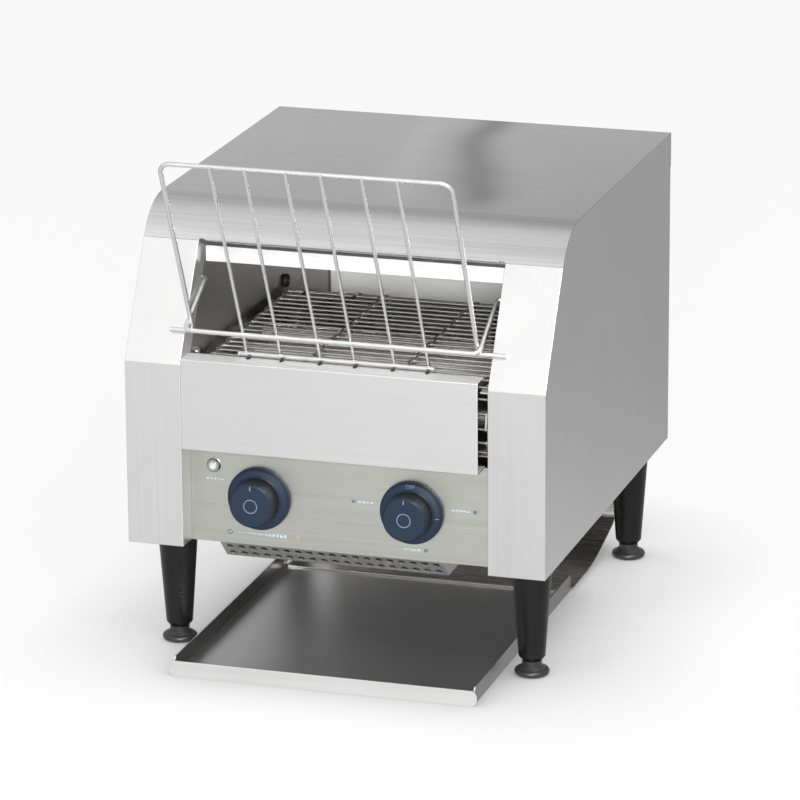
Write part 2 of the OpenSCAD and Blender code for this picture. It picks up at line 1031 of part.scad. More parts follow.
module fan_frame() {
    color("dimgray")
        from_housing()
            translate([vent_mid, fan_y, sheet]) {
                linear_extrude(fan_h)
                    difference() {
                        square(fan_w, center = true);
                        circle(d = fan_bore, $fn = bend_fn);
                        for (a = [45 : 90 : 315])
                            translate(0.45 * fan_w * sqrt(2) * [cos(a), sin(a)])
                                circle(d = 4.4, $fn = wire_fn);
                    }
                linear_extrude(3)
                    difference() {
                        union() {
                            circle(d = fan_hub_d, $fn = round_fn);
                            for (a = [0 : 120 : 240])
                                rotate(a)
                                    translate([0, -2])
                                        square([fan_bore / 2 + 1, 4]);
                        }
                        circle(d = 4 + 2 * run_fit, $fn = wire_fn);
                    }
            }
}

module fan_impeller() {
    blades = 7;
    color("black")
        from_housing()
            translate([vent_mid, fan_y, sheet]) {
                cylinder(d = 4, h = 6, $fn = wire_fn);
                translate([0, 0, 4])
                    cylinder(d = fan_hub_d - 2, h = fan_h - 6, $fn = round_fn);
                for (i = [0 : blades - 1])
                    rotate(i * 360 / blades)
                        translate([fan_hub_d / 2 - 3, 0, fan_h / 2 + 1])
                            rotate([40, 0, 0])
                                translate([0, -10, -0.8])
                                    cube([fan_bore / 2 - fan_hub_d / 2 + 1, 20, 1.6]);
            }
}

// ---- Controls

knob_gap = 0.5;
spindle_d = 6;

// Turned side view of a knob, from its axis outwards and away from the panel
module knob_outline() {
    skirt_h = 7;
    top_r = cap_d / 2 - 1;
    edge = 1.5;
    polygon([
        [0, 3],
        [spindle_d / 2, 3],
        [spindle_d / 2, 0],
        [skirt_d / 2, 0],
        [skirt_d / 2, skirt_h - 3],
        [skirt_d / 2 - 2, skirt_h - 1],
        [cap_d / 2 + 1.5, skirt_h],
        [cap_d / 2, skirt_h + 1.5],
        [top_r, knob_out - knob_gap - edge],
        [top_r - edge, knob_out - knob_gap],
        [0, knob_out - knob_gap]
    ]);
}

// A knob turned about its own axis, with a pointer ridge on its cap and the spindle it grips
module knob(x) {
    spindle_back = 14;
    from_housing()
        translate([x, panel_y - knob_gap, knob_z])
            rotate([90, 0, 0]) {
                rotate_extrude($fn = bend_fn)
                    knob_outline();
                translate([-0.8, cap_d / 2 - 8, knob_out - knob_gap - 0.5])
                    cube([1.6, 6, 0.9]);
                translate([0, 0, -spindle_back - knob_gap])
                    cylinder(d = spindle_d, h = spindle_back + knob_gap + 4, $fn = round_fn);
            }
}

module speed_knob() {
    color("midnightblue")
        knob(-speed_knob_x);
}

module function_knob() {
    color("midnightblue")
        knob(function_knob_x);
}

// A control behind the panel, with the bush that its spindle turns in
module control_body(x) {
    bush_len = sheet + 0.3;
    from_housing()
        translate([x, panel_back, knob_z])
            rotate([-90, 0, 0])
                difference() {
                    union() {
                        children();
                        translate([0, 0, -sheet])
                            cylinder(d = 9.8, h = bush_len, $fn = round_fn);
                    }
                    translate([0, 0, -sheet - 1])
                        cylinder(d = spindle_d + 2 * run_fit, h = 16 + sheet, $fn = round_fn);
                }
}

module speed_control() {
    color("steelblue")
        control_body(-speed_knob_x)
            cylinder(d = 32, h = 22, $fn = round_fn);
}

module function_switch() {
    color("ivory")
        control_body(function_knob_x)
            translate([-20, -20, 0])
                cube([40, 40, 28]);
}

lamp_body_d = 9;

module lamp_bezel() {
    color("silver")
        from_housing()
            translate([-lamp_x, panel_y, lamp_z])
                rotate([90, 0, 0])
                    rotate_extrude($fn = round_fn)
                        polygon([
                            [lamp_body_d / 2 - 1, -18],
                            [lamp_body_d / 2, -18],
                            [lamp_body_d / 2, 0],
                            [lamp_d / 2, 0],
                            [lamp_d / 2, 1],
                            [lamp_d / 2 - 1, 2.4],
                            [lamp_body_d / 2 - 1, 2.4]
                        ]);
}

module lamp_lens() {
    lens_r = lamp_body_d / 2 - 1;
    color("white")
        from_housing()
            translate([-lamp_x, panel_y, lamp_z])
                rotate([90, 0, 0])
                    rotate_extrude($fn = round_fn)
                        polygon([[0, -12], [lens_r, -12], [lens_r, 3], [lens_r - 1, 4.2], [0, 4.6]]);
}

module terminal_block() {
    ways = 4;
    way_w = 11;
    color("ivory")
        from_housing()
            translate([-(wall_out + half_w) / 2, body_d - 120, sheet])
                difference() {
                    translate([-14, 0, 0])
                        cube([28, ways * way_w, 18]);
                    for (i = [0 : ways - 1])
                        for (s = [-1, 1])
                            translate([s * 7, (i + 0.5) * way_w, 8])
                                cylinder(d = 6, h = 11, $fn = wire_fn);
                }
}

gland_thread = 16;

module cable_gland() {
    color("black")
        from_housing()
            translate([-gland_x, inner_back, gland_z])
                rotate([-90, 0, 0])
                    difference() {
                        union() {
                            translate([0, 0, -10])
                                cylinder(d = gland_thread, h = 12, $fn = round_fn);
                            translate([0, 0, sheet])
                                cylinder(d = gland_nut, h = 5, $fn = 6);
                            translate([0, 0, sheet + 5])
                                cylinder(d1 = 19, d2 = 14, h = gland_out - 5, $fn = round_fn);
                            translate([0, 0, -5])
                                cylinder(d = gland_nut, h = 5, $fn = 6);
                        }
                        translate([0, 0, -11])
                            cylinder(d = gland_bore, h = gland_out + 20, $fn = round_fn);
                    }
}

// ---- Loading rack

// A round bead, a hair thicker than the wire, that joins two lengths of it
module bead(d) {
    rotate_extrude($fn = wire_fn)
        intersection() {
            circle(d = d + 0.04, $fn = wire_fn);
            translate([0, -d])
                square([d, 2 * d]);
        }
}

// A round wire that leaves the origin along X and bends towards Y, with its children at its end
module wire_bend(r, angle, d) {
    bead(d);
    translate([0, r, 0])
        rotate([0, 0, -90])
            rotate_extrude(angle = angle, $fn = bend_fn)
                translate([r, 0])
                    circle(d = d, $fn = wire_fn);
    translate([r * sin(angle), r * (1 - cos(angle)), 0])
        rotate([0, 0, angle]) {
            bead(d);
            children();
        }
}

// One end of the pivot wire: a bend, the arm, a tighter bend and the pin that turns in the inner wall
module pivot_arm(reach, pin_end) {
    bend_r = 6;
    pin_r = 3;
    rod_x(0, arm_x - bend_r, rack_wire);
    translate([arm_x - bend_r, 0, 0])
        wire_bend(bend_r, 90, rack_wire) {
            rod_x(0, reach - bend_r - pin_r, rack_wire);
            translate([reach - bend_r - pin_r, 0, 0])
                mirror([0, 1, 0])
                    wire_bend(pin_r, 90, rack_wire)
                        rod_x(0, pin_end - arm_x - pin_r, rack_wire);
        }
}

// The frame wire of the rack: two sides and the top bar with rounded corners
module rack_frame() {
    corner = 10;
    tail = 3;
    half = rack_w / 2;
    for (s = [0, 1])
        mirror([s, 0, 0]) {
            translate([half, 0, -tail])
                cylinder(d = rack_wire, h = rack_h - corner + tail, $fn = wire_fn);
            translate([half, 0, rack_h - corner])
                rotate([90, -90, 0])
                    wire_bend(corner, 90, rack_wire)
                        rod_x(0, half - corner, rack_wire);
        }
}

slat_spots = [-80, -50, -15, 15, 50, 80];

// The pivot wire lies before the rest bar, and its arms pass just over the bar's back
module loading_rack() {
    below = stop_drop + 4;
    bar_w = 172;
    ahead = 3.9;
    away = rack_wire + side_gap;
    drop = [pivot_y - rest_y, pivot_z - rest_z];
    lift = atan2(drop[1], drop[0]) - asin(away / norm(drop));
    reach = sqrt(drop * drop - away * away) + ahead;
    color("silver")
        from_housing() {
            translate([0, rest_y, rest_z])
                rotate([rack_lean, 0, 0]) {
                    rod_x(-rest_w / 2, rest_w / 2, rack_wire);
                    translate([-rack_side, wire_step, 0])
                        rack_frame();
                    for (x = slat_spots)
                        translate([x - rack_side, slat_step, 0])
                            rotate([slat_lean, 0, 0])
                                translate([0, 0, -below])
                                    cylinder(d = slat_wire, h = rack_h + below + slat_over, $fn = wire_fn);
                    translate([-rack_side, stop_drop * tan(slat_lean), -stop_drop])
                        rod_x(-bar_w / 2, bar_w / 2, rack_wire);
                }
            translate([-rack_side, pivot_y, pivot_z])
                for (s = [0, 1])
                    mirror([s, 0, 0])
                        rotate([lift, 0, 0])
                            translate([0, -reach, 0])
                                pivot_arm(reach, wall_out + 3 + (s == 0 ? rack_side : -rack_side));
        }
}

// ---- Tray, chute and legs

tray_back = tray_len - tray_out;

module collecting_tray() {
    lip_r = 5;
    notch = 6;
    color("darkgray")
        from_table() {
            block([-tray_w / 2, -tray_out, 0], [tray_w / 2, tray_back, sheet]);
            for (s = [-1, 1])
                across(s > 0 ? tray_w / 2 - sheet : -tray_w / 2, s > 0 ? tray_w / 2 : sheet - tray_w / 2)
                    polygon([
                        [-tray_out, 0],
                        [-tray_out, rim_h - notch],
                        [notch - tray_out, rim_h],
                        [tray_back, rim_h],
                        [tray_back, 0]
                    ]);
            upright(-tray_out - sheet, sheet)
                union() {
                    translate([-lip_w / 2, lip_r])
                        square([lip_w, lip_h - 2 * lip_r]);
                    translate([lip_r - lip_w / 2, 0])
                        square([lip_w - 2 * lip_r, lip_h]);
                    for (s = [-1, 1])
                        for (z = [lip_r, lip_h - lip_r])
                            translate([s * (lip_w / 2 - lip_r), z])
                                circle(r = lip_r, $fn = round_fn);
                }
        }
}

chute_w = 2 * (wall_x - side_gap);
chute_low = sheet + side_gap;
ramp_foot = 335;
ramp_r = 220;
lap = 12;

// Side view of the space over the chute, drawn in by an inset and widened in front and above
module chute_space(front, inset, over) {
    bend_r = 11;
    foot = [ramp_foot, chute_low];
    bend = [inner_back - bend_r, ramp_h + bend_r];
    slope = heading(foot, bend) - asin(bend_r / norm(bend - foot));
    turn = [ramp_foot - ramp_r * tan(slope / 2), chute_low + ramp_r];
    flat = turn - [0, ramp_r - inset];
    ramp = turn + (ramp_r - inset) * [sin(slope), -cos(slope)];
    top = leg_len + chute_top + over;
    polygon([
        [front - over, chute_low + inset],
        flat,
        ramp,
        bend + (bend_r - inset) * [sin(slope), -cos(slope)],
        bend,
        [bend[0], top],
        [front - over, top]
    ]);
    intersection() {
        translate(turn)
            circle(r = ramp_r - inset, $fn = 4 * bend_fn);
        polygon([flat - [0, 9], ramp - [0, 9], ramp + [0, 9], flat + [0, 9]]);
    }
    translate(bend)
        circle(r = bend_r - inset, $fn = round_fn);
    translate([bend[0] - 1, bend[1]])
        square([1 + bend_r - inset, top - bend[1]]);
}

// Side view of the chute's sheet, from its flat foot up the ramp to the back
module chute_outline(front) {
    difference() {
        chute_space(front, 0, 0);
        chute_space(front, sheet, 1);
    }
}

module rear_chute() {
    color("dimgray")
        from_table() {
            across(-chute_w / 2, chute_w / 2)
                chute_outline(tray_back + side_gap);
            across(5 - tray_w / 2, tray_w / 2 - 5)
                translate([tray_back - lap, chute_low])
                    square([lap + 2 * side_gap, sheet]);
        }
}

leg_gap = 0.3;
neck_h = 4;
neck_d = 17;
stem_d = 10;
foot_bore = 30;

module leg(k) {
    low = foot_h + neck_h + leg_gap;
    color("black")
        from_table()
            translate([leg_spots()[k][0], leg_spots()[k][1], 0])
                rotate_extrude($fn = round_fn)
                    polygon([
                        [stem_d / 2 + run_fit, low],
                        [leg_low_d / 2 - 2.7, low],
                        [leg_low_d / 2, low + 3.6],
                        [leg_top_d / 2, leg_len],
                        [stud_d / 2, leg_len],
                        [stud_d / 2, leg_len + 12],
                        [0, leg_len + 12],
                        [0, low + foot_bore],
                        [stem_d / 2 + run_fit, low + foot_bore]
                    ]);
}

module front_left_leg() leg(0);

module front_right_leg() leg(1);

module rear_left_leg() leg(2);

module rear_right_leg() leg(3);

// Levelling foot: a disc with a round rim, a neck and the stem that screws into the leg
module foot(k) {
    top = foot_h + neck_h;
    rim_r = foot_h / 3;
    color("black")
        from_table()
            translate([leg_spots()[k][0], leg_spots()[k][1], 0])
                rotate_extrude($fn = round_fn)
                    union() {
                        translate([foot_d / 2 - rim_r, rim_r])
                            circle(r = rim_r, $fn = wire_fn);
                        polygon([
                            [0, 0],
                            [foot_d / 2 - rim_r, 0],
                            [foot_d / 2 - rim_r, 2 * rim_r],
                            [neck_d / 2, foot_h],
                            [neck_d / 2, top],
                            [stem_d / 2, top],
                            [stem_d / 2, top + foot_bore - 2],
                            [0, top + foot_bore - 2]
                        ]);
                    }
}

module front_left_foot() foot(0);

module front_right_foot() foot(1);

module rear_left_foot() foot(2);

module rear_right_foot() foot(3);

module leg_nuts() {
    color("silver")
        from_housing()
            for (spot = leg_spots())
                translate([spot[0], spot[1], sheet])
                    difference() {
                        cylinder(d = 15, h = 6, $fn = 6);
                        translate([0, 0, -1])
                            cylinder(d = stud_d + 0.2, h = 8, $fn = wire_fn);
                    }
}

module rear_screws() {
    color("silver")
        from_housing()
            for (s = [-1, 1])
                for (z = rear_screw_z)
                    translate([s * (half_w - rear_screw_in), inner_back, z])
                        rotate([-90, 0, 0])
                            rotate_extrude($fn = wire_fn)
                                polygon([
                                    [0, 0],
                                    [rear_screw_d / 2, 0],
                                    [rear_screw_d / 2, sheet],
                                    [3.8, sheet],
                                    [3.4, sheet + 1.6],
                                    [0, sheet + 2]
                                ]);
}

module wall_bolts() {
    color("silver")
        from_housing()
            for (s = [-1, 1])
                translate([s * wall_x, wall_bolt[0], wall_bolt[1]])
                    rotate([0, -s * 90, 0]) {
                        translate([0, 0, -sheet])
                            cylinder(d = bolt_d, h = sheet + 5, $fn = wire_fn);
                        cylinder(d = 9, h = 3.5, $fn = 6);
                    }
}

left_casing();
right_casing();
top_hood();
rear_cover();
front_cover();
control_panel();
vent_box();
base_pan();
heat_shield();
left_base_rail();
right_base_rail();
left_inner_wall();
right_inner_wall();
upper_fascia();
upper_reflector();
lower_reflector();
bed_plate();
upper_heaters();
lower_heaters();
upper_heater_caps();
lower_heater_caps();
conveyor_belt();
front_shaft();
rear_shaft();
front_sprockets();
rear_sprockets();
shaft_bushes();
gear_motor();
motor_bracket();
motor_sprocket();
shaft_sprocket();
drive_chain();
fan_frame();
fan_impeller();
speed_knob();
function_knob();
speed_control();
function_switch();
lamp_bezel();
lamp_lens();
terminal_block();
cable_gland();
loading_rack();
collecting_tray();
rear_chute();
front_left_leg();
front_right_leg();
rear_left_leg();
rear_right_leg();
front_left_foot();
front_right_foot();
rear_left_foot();
rear_right_foot();
leg_nuts();
rear_screws();
wall_bolts();
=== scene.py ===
import json
import math

import bmesh
import bpy
import numpy as np
from mathutils import Matrix, Vector


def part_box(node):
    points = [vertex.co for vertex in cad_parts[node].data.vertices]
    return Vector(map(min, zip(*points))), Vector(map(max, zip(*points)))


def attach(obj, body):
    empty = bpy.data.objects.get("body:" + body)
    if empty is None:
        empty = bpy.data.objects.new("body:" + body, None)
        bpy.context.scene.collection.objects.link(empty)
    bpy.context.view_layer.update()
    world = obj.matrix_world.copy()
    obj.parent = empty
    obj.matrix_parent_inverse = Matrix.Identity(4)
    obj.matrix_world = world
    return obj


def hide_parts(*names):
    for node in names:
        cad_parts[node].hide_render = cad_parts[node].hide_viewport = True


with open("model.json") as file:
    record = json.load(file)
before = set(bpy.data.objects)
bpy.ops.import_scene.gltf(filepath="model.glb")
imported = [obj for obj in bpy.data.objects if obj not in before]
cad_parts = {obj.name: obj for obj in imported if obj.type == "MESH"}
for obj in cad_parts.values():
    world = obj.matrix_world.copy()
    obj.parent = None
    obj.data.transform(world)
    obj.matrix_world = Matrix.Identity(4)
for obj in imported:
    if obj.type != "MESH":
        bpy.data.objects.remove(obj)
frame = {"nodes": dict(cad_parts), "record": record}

nodes = frame["nodes"]
slotOf = {entry["node"]: entry["material_slot"] for entry in frame["record"]["subparts"]}
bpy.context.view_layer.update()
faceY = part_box("left_casing")[0][1]      # depth of the front posts' faces
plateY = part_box("rear_cover")[0][1]      # depth of the rear cover's inner face
print("toaster: frame loaded")


def addObject(name, data):
    # a new object in the scene for a mesh, a lamp, a camera or a text
    item = bpy.data.objects.new(name, data)
    bpy.context.scene.collection.objects.link(item)
    return item


# camera: three-quarter view from the front right, slightly above

cameraSettings = {
    "place": (1.21163, -3.86202, 1.43059),
    "right": (0.95485, 0.29701, -0.00634),
    "up": (-0.0812, 0.28145, 0.95613),
    "lens": 219.115,      # millimetres, on a 36 mm sensor
    "sensor": 36.0,
    "farthest": 40.0,
}


def placeCamera(settings):
    # the camera's own axes are right, up and back, where back = right x up
    right = Vector(settings["right"]).normalized()
    back = right.cross(Vector(settings["up"])).normalized()
    up = back.cross(right)
    data = bpy.data.cameras.new("toasterCamera")
    data.sensor_width = settings["sensor"]
    data.lens = settings["lens"]
    data.clip_end = settings["farthest"]
    camera = addObject("toasterCamera", data)
    turn = Matrix((right, up, back)).transposed().to_4x4()
    camera.matrix_world = Matrix.Translation(Vector(settings["place"])) @ turn
    bpy.context.scene.camera = camera


placeCamera(cameraSettings)
bpy.context.scene.view_settings.view_transform = "Standard"
print("toaster: camera placed")

# node helpers


def linkNodes(tree, links):
    # each pair as a link from its first socket to its second
    for fromSocket, toSocket in links:
        tree.links.new(fromSocket, toSocket)


def mathNode(tree, operation, *values):
    # a Math node whose inputs are sockets or plain numbers
    node = tree.nodes.new("ShaderNodeMath")
    node.operation = operation
    for slot, value in zip(node.inputs, values):
        if isinstance(value, (int, float)):
            slot.default_value = value
        else:
            tree.links.new(value, slot)
    return node.outputs[0]


def toRange(tree, socket, low, high, fromLow=0.3, fromHigh=0.7, ease="LINEAR"):
    # low at fromLow, high at fromHigh, in between in proportion, and held past both
    node = tree.nodes.new("ShaderNodeMapRange")
    node.interpolation_type = ease
    node.inputs["From Min"].default_value = fromLow
    node.inputs["From Max"].default_value = fromHigh
    node.inputs["To Min"].default_value = low
    node.inputs["To Max"].default_value = high
    tree.links.new(socket, node.inputs["Value"])
    return node.outputs["Result"]


def axesOf(tree, output):
    # X, Y and Z of a texture coordinate: metres for Object, a unit vector for Normal
    coord = tree.nodes.new("ShaderNodeTexCoord")
    split = tree.nodes.new("ShaderNodeSeparateXYZ")
    tree.links.new(coord.outputs[output], split.inputs[0])
    return split.outputs


def glossyRays(tree, path):
    # 1 for a reflected or transmitted ray, else 0
    return mathNode(tree, "MAXIMUM", path.outputs["Is Glossy Ray"], path.outputs["Is Transmission Ray"])


def fillRamp(ramp, stops):
    # grey stops of a colour ramp, eased between neighbours
    elements = ramp.color_ramp.elements
    while len(elements) < len(stops):
        elements.new(0.5)
    for element, (place, grey) in zip(elements, stops):
        element.position = place
        element.color = (grey, grey, grey, 1)
    ramp.color_ramp.interpolation = "EASE"


# stage: pale floor, studio for reflections, soft lamps

stageSettings = {
    "floorHalf": 9.0,
    "floorColour": 0.93,
    "floorGlow": 0.93,         # share of the floor that shows as plain white paper
    "contactShade": 0.85,      # how far that paper darkens in the object's own shade
    "shadeReach": 0.16,        # metres
    "shadeSamples": 12,
    "paper": 0.965,
    "ambient": 0.46,
    "studio": [                # turn from the front horizon over the zenith to the back, and its grey
        (0.00, 0.86), (0.22, 0.98), (0.34, 0.94), (0.57, 0.74),
        (0.80, 0.46), (0.87, 0.48), (0.92, 0.56), (1.00, 0.62),
    ],
    "studioLevel": 1.12,
    "floorTone": {"fromY": -0.7, "toY": 0.9, "front": 0.80, "behind": 0.38},
    "aim": (0, 0, 0.2),
    "lamps": {
        "keyLamp": {"place": (1.7, -2.0, 3.0), "size": 1.2, "watts": 84.0},
        "fillLamp": {"place": (-1.9, -2.0, 2.7), "size": 2.0, "watts": 1.8},
        "frontLamp": {"place": (0.1, -3.5, 0.60), "size": 1.4, "watts": 4.0},
        "sideLamp": {"place": (1.05, -3.75, 1.30), "size": 1.0, "watts": 165.0},
        "topLamp": {"place": (0.3, 0.3, 3.0), "size": 2.6, "watts": 5.0},
    },
}


def makeWorld(settings):
    # the camera sees white paper, glossy rays a studio that darkens overhead, the rest an even light
    world = bpy.data.worlds.new("toasterWorld")
    bpy.context.scene.world = world
    world.use_nodes = True
    tree = world.node_tree
    tree.nodes.clear()
    path = tree.nodes.new("ShaderNodeLightPath")
    ramp = tree.nodes.new("ShaderNodeValToRGB")
    backdrop = tree.nodes.new("ShaderNodeBackground")
    studio = tree.nodes.new("ShaderNodeBackground")
    ambient = tree.nodes.new("ShaderNodeBackground")
    mixGlossy = tree.nodes.new("ShaderNodeMixShader")
    mixCamera = tree.nodes.new("ShaderNodeMixShader")
    out = tree.nodes.new("ShaderNodeOutputWorld")
    backdrop.inputs["Color"].default_value = (settings["paper"],) * 3 + (1,)
    ambient.inputs["Color"].default_value = (1, 1, 1, 1)
    ambient.inputs["Strength"].default_value = settings["ambient"]
    studio.inputs["Strength"].default_value = settings["studioLevel"]
    fillRamp(ramp, settings["studio"])
    # share of the half turn from the front horizon to the back: atan2(z, -y) / pi
    axes = axesOf(tree, "Generated")
    turn = mathNode(tree, "ARCTAN2", axes["Z"], mathNode(tree, "MULTIPLY", axes["Y"], -1.0))
    linkNodes(tree, [
        (mathNode(tree, "DIVIDE", turn, math.pi), ramp.inputs[0]),
        (ramp.outputs["Color"], studio.inputs["Color"]),
        (glossyRays(tree, path), mixGlossy.inputs[0]),
        (ambient.outputs[0], mixGlossy.inputs[1]),
        (studio.outputs[0], mixGlossy.inputs[2]),
        (path.outputs["Is Camera Ray"], mixCamera.inputs[0]),
        (mixGlossy.outputs[0], mixCamera.inputs[1]),
        (backdrop.outputs[0], mixCamera.inputs[2]),
        (mixCamera.outputs[0], out.inputs["Surface"]),
    ])


def makeFloor(settings):
    # white paper with a soft shadow for the camera, and for reflections a tone that falls off to the back
    half = settings["floorHalf"]
    mesh = bpy.data.meshes.new("studioFloor")
    corners = [(-half, -half, 0), (half, -half, 0), (half, half, 0), (-half, half, 0)]
    mesh.from_pydata(corners, [], [(0, 1, 2, 3)])
    floor = addObject("studioFloor", mesh)
    paper = bpy.data.materials.new("studioPaper")
    paper.use_nodes = True
    tree = paper.node_tree
    tree.nodes.clear()
    path = tree.nodes.new("ShaderNodeLightPath")
    diffuse = tree.nodes.new("ShaderNodeBsdfDiffuse")
    white = tree.nodes.new("ShaderNodeEmission")
    toned = tree.nodes.new("ShaderNodeEmission")
    shade = tree.nodes.new("ShaderNodeAmbientOcclusion")
    mixWhite = tree.nodes.new("ShaderNodeMixShader")
    mixToned = tree.nodes.new("ShaderNodeMixShader")
    out = tree.nodes.new("ShaderNodeOutputMaterial")
    diffuse.inputs["Color"].default_value = (settings["floorColour"],) * 3 + (1,)
    white.inputs["Color"].default_value = (settings["paper"],) * 3 + (1,)
    shade.samples = settings["shadeSamples"]
    shade.inputs["Distance"].default_value = settings["shadeReach"]
    # the paper's glow is 1 - contactShade (1 - open sky)
    covered = mathNode(tree, "SUBTRACT", 1.0, shade.outputs["AO"])
    glow = mathNode(tree, "SUBTRACT", 1.0, mathNode(tree, "MULTIPLY", covered, settings["contactShade"]))
    tone = settings["floorTone"]
    depth = axesOf(tree, "Object")["Y"]
    falling = toRange(tree, depth, tone["front"], tone["behind"], tone["fromY"], tone["toY"], "SMOOTHSTEP")
    seen = mathNode(tree, "MULTIPLY", path.outputs["Is Camera Ray"], settings["floorGlow"])
    mirrored = mathNode(tree, "MULTIPLY", glossyRays(tree, path), settings["floorGlow"])
    linkNodes(tree, [
        (glow, white.inputs["Strength"]),
        (falling, toned.inputs["Strength"]),
        (seen, mixWhite.inputs[0]),
        (diffuse.outputs[0], mixWhite.inputs[1]),
        (white.outputs[0], mixWhite.inputs[2]),
        (mirrored, mixToned.inputs[0]),
        (mixWhite.outputs[0], mixToned.inputs[1]),
        (toned.outputs[0], mixToned.inputs[2]),
        (mixToned.outputs[0], out.inputs["Surface"]),
    ])
    mesh.materials.append(paper)


def makeLamps(settings):
    # soft discs that all look at one point
    aim = Vector(settings["aim"])
    for name, lamp in settings["lamps"].items():
        data = bpy.data.lights.new(name, "AREA")
        data.shape = "DISK"
        data.size = lamp["size"]
        data.energy = lamp["watts"]
        light = addObject(name, data)
        light.location = lamp["place"]
        light.rotation_euler = (aim - light.location).to_track_quat("-Z", "Y").to_euler()


makeWorld(stageSettings)
makeFloor(stageSettings)
makeLamps(stageSettings)
print("toaster: stage ready")

# finishes: kinds of surface

finishSettings = {
    "along": 5.0, "across": 900.0,          # noise scale of the brushed streaks along the grain and across it
    "cloud": 9.0,                           # noise scale of the slow polish on sheets
    "darkest": 0.5, "palest": 1.5,          # a sheet's colour times these, at the ends of the blend
    "mottle": 160.0,                        # noise scale on plain metal
    "smoother": 0.04, "rougher": 0.06,      # how far its roughness falls and rises
    "tint": 30.0, "plasticSpread": 0.05,    # noise scale of a plastic's colour, and its change of roughness
    "metalBump": 0.0002, "plasticBump": 0.0001,
}


def newFinish(name):
    # a material with its tree, its shader and a texture coordinate
    finish = bpy.data.materials.new(name)
    finish.use_nodes = True
    tree = finish.node_tree
    return finish, tree, tree.nodes["Principled BSDF"], tree.nodes.new("ShaderNodeTexCoord")


def stretchedNoise(tree, coord, scale, detail=2.0):
    # noise stretched by a different scale on each axis, in metres
    mapping = tree.nodes.new("ShaderNodeMapping")
    mapping.inputs["Scale"].default_value = scale
    noise = tree.nodes.new("ShaderNodeTexNoise")
    noise.inputs["Scale"].default_value = 1.0
    noise.inputs["Detail"].default_value = detail
    noise.inputs["Roughness"].default_value = 0.5
    tree.links.new(coord.outputs["Object"], mapping.inputs["Vector"])
    tree.links.new(mapping.outputs["Vector"], noise.inputs["Vector"])
    return noise.outputs["Fac"]


def evenNoise(tree, coord, scale, detail=2.0):
    # noise with one scale on all axes
    return stretchedNoise(tree, coord, (scale, scale, scale), detail)


def mixColours(tree, factor, first, second):
    # the first colour at 0, the second at 1
    mix = tree.nodes.new("ShaderNodeMix")
    mix.data_type = "RGBA"
    mix.inputs["A"].default_value = (*first, 1)
    mix.inputs["B"].default_value = (*second, 1)
    tree.links.new(factor, mix.inputs["Factor"])
    return mix.outputs["Result"]


def addBump(tree, shader, height, strength, distance):
    # a bump whose height is a noise times a distance in metres
    bump = tree.nodes.new("ShaderNodeBump")
    bump.inputs["Strength"].default_value = strength
    bump.inputs["Distance"].default_value = distance
    tree.links.new(height, bump.inputs["Height"])
    tree.links.new(bump.outputs["Normal"], shader.inputs["Normal"])


def shadeOf(colour, factor):
    # the colour times a factor, at most white
    return tuple(min(1.0, part * factor) for part in colour)


def brushedSteel(name, colour, roughness=0.34, grain="x", contrast=0.06, cloud=0.04, metallic=1.0, bump=0.12):
    # brushed sheet: colour and roughness follow fine streaks along one axis, over a slow cloud of polish
    known = finishSettings
    finish, tree, shader, coord = newFinish(name)
    streaks = stretchedNoise(tree, coord, tuple(known["along" if axis == grain else "across"] for axis in "xyz"))
    clouds = evenNoise(tree, coord, known["cloud"])
    blend = mathNode(
        tree, "ADD", toRange(tree, streaks, -contrast, contrast), toRange(tree, clouds, 0.5 - cloud, 0.5 + cloud))
    dark, pale = shadeOf(colour, known["darkest"]), shadeOf(colour, known["palest"])
    tree.links.new(mixColours(tree, blend, dark, pale), shader.inputs["Base Color"])
    rough = toRange(tree, streaks, roughness - contrast, roughness + contrast)
    tree.links.new(rough, shader.inputs["Roughness"])
    shader.inputs["Metallic"].default_value = metallic
    addBump(tree, shader, streaks, bump, known["metalBump"])
    return finish


def plainMetal(name, colour, roughness=0.25, wear=0.05, bump=0.06):
    # drawn or turned metal with a faint mottle, whose dark parts lose three times the wear
    known = finishSettings
    finish, tree, shader, coord = newFinish(name)
    mottle = evenNoise(tree, coord, known["mottle"], 3.0)
    tree.links.new(mixColours(tree, mottle, shadeOf(colour, 1 - 3 * wear), colour), shader.inputs["Base Color"])
    rough = toRange(tree, mottle, roughness - known["smoother"], roughness + known["rougher"])
    tree.links.new(rough, shader.inputs["Roughness"])
    shader.inputs["Metallic"].default_value = 1.0
    addBump(tree, shader, mottle, bump, known["metalBump"])
    return finish


def mouldedPlastic(name, colour, roughness=0.4, texture=1400.0, bump=0.1, specular=0.5, spread=0.12):
    # moulded or painted surface with a very fine tooth, and a colour that drifts by the spread
    known = finishSettings
    finish, tree, shader, coord = newFinish(name)
    tooth = evenNoise(tree, coord, texture)
    cloud = evenNoise(tree, coord, known["tint"])
    dark, pale = shadeOf(colour, 1 - spread), shadeOf(colour, 1 + spread)
    tree.links.new(mixColours(tree, cloud, dark, pale), shader.inputs["Base Color"])
    rough = toRange(tree, tooth, roughness - known["plasticSpread"], roughness + known["plasticSpread"])
    tree.links.new(rough, shader.inputs["Roughness"])
    shader.inputs["Specular IOR Level"].default_value = specular
    addBump(tree, shader, tooth, bump, known["plasticBump"])
    return finish


# finishes: changes from place to place on one sheet


def scaleBase(finish, factor):
    # the base colour times a factor
    tree = finish.node_tree
    base = tree.nodes["Principled BSDF"].inputs["Base Color"]
    scale = tree.nodes.new("ShaderNodeVectorMath")
    scale.operation = "SCALE"
    tree.links.new(base.links[0].from_socket, scale.inputs[0])
    tree.links.new(factor, scale.inputs["Scale"])
    tree.links.new(scale.outputs[0], base)


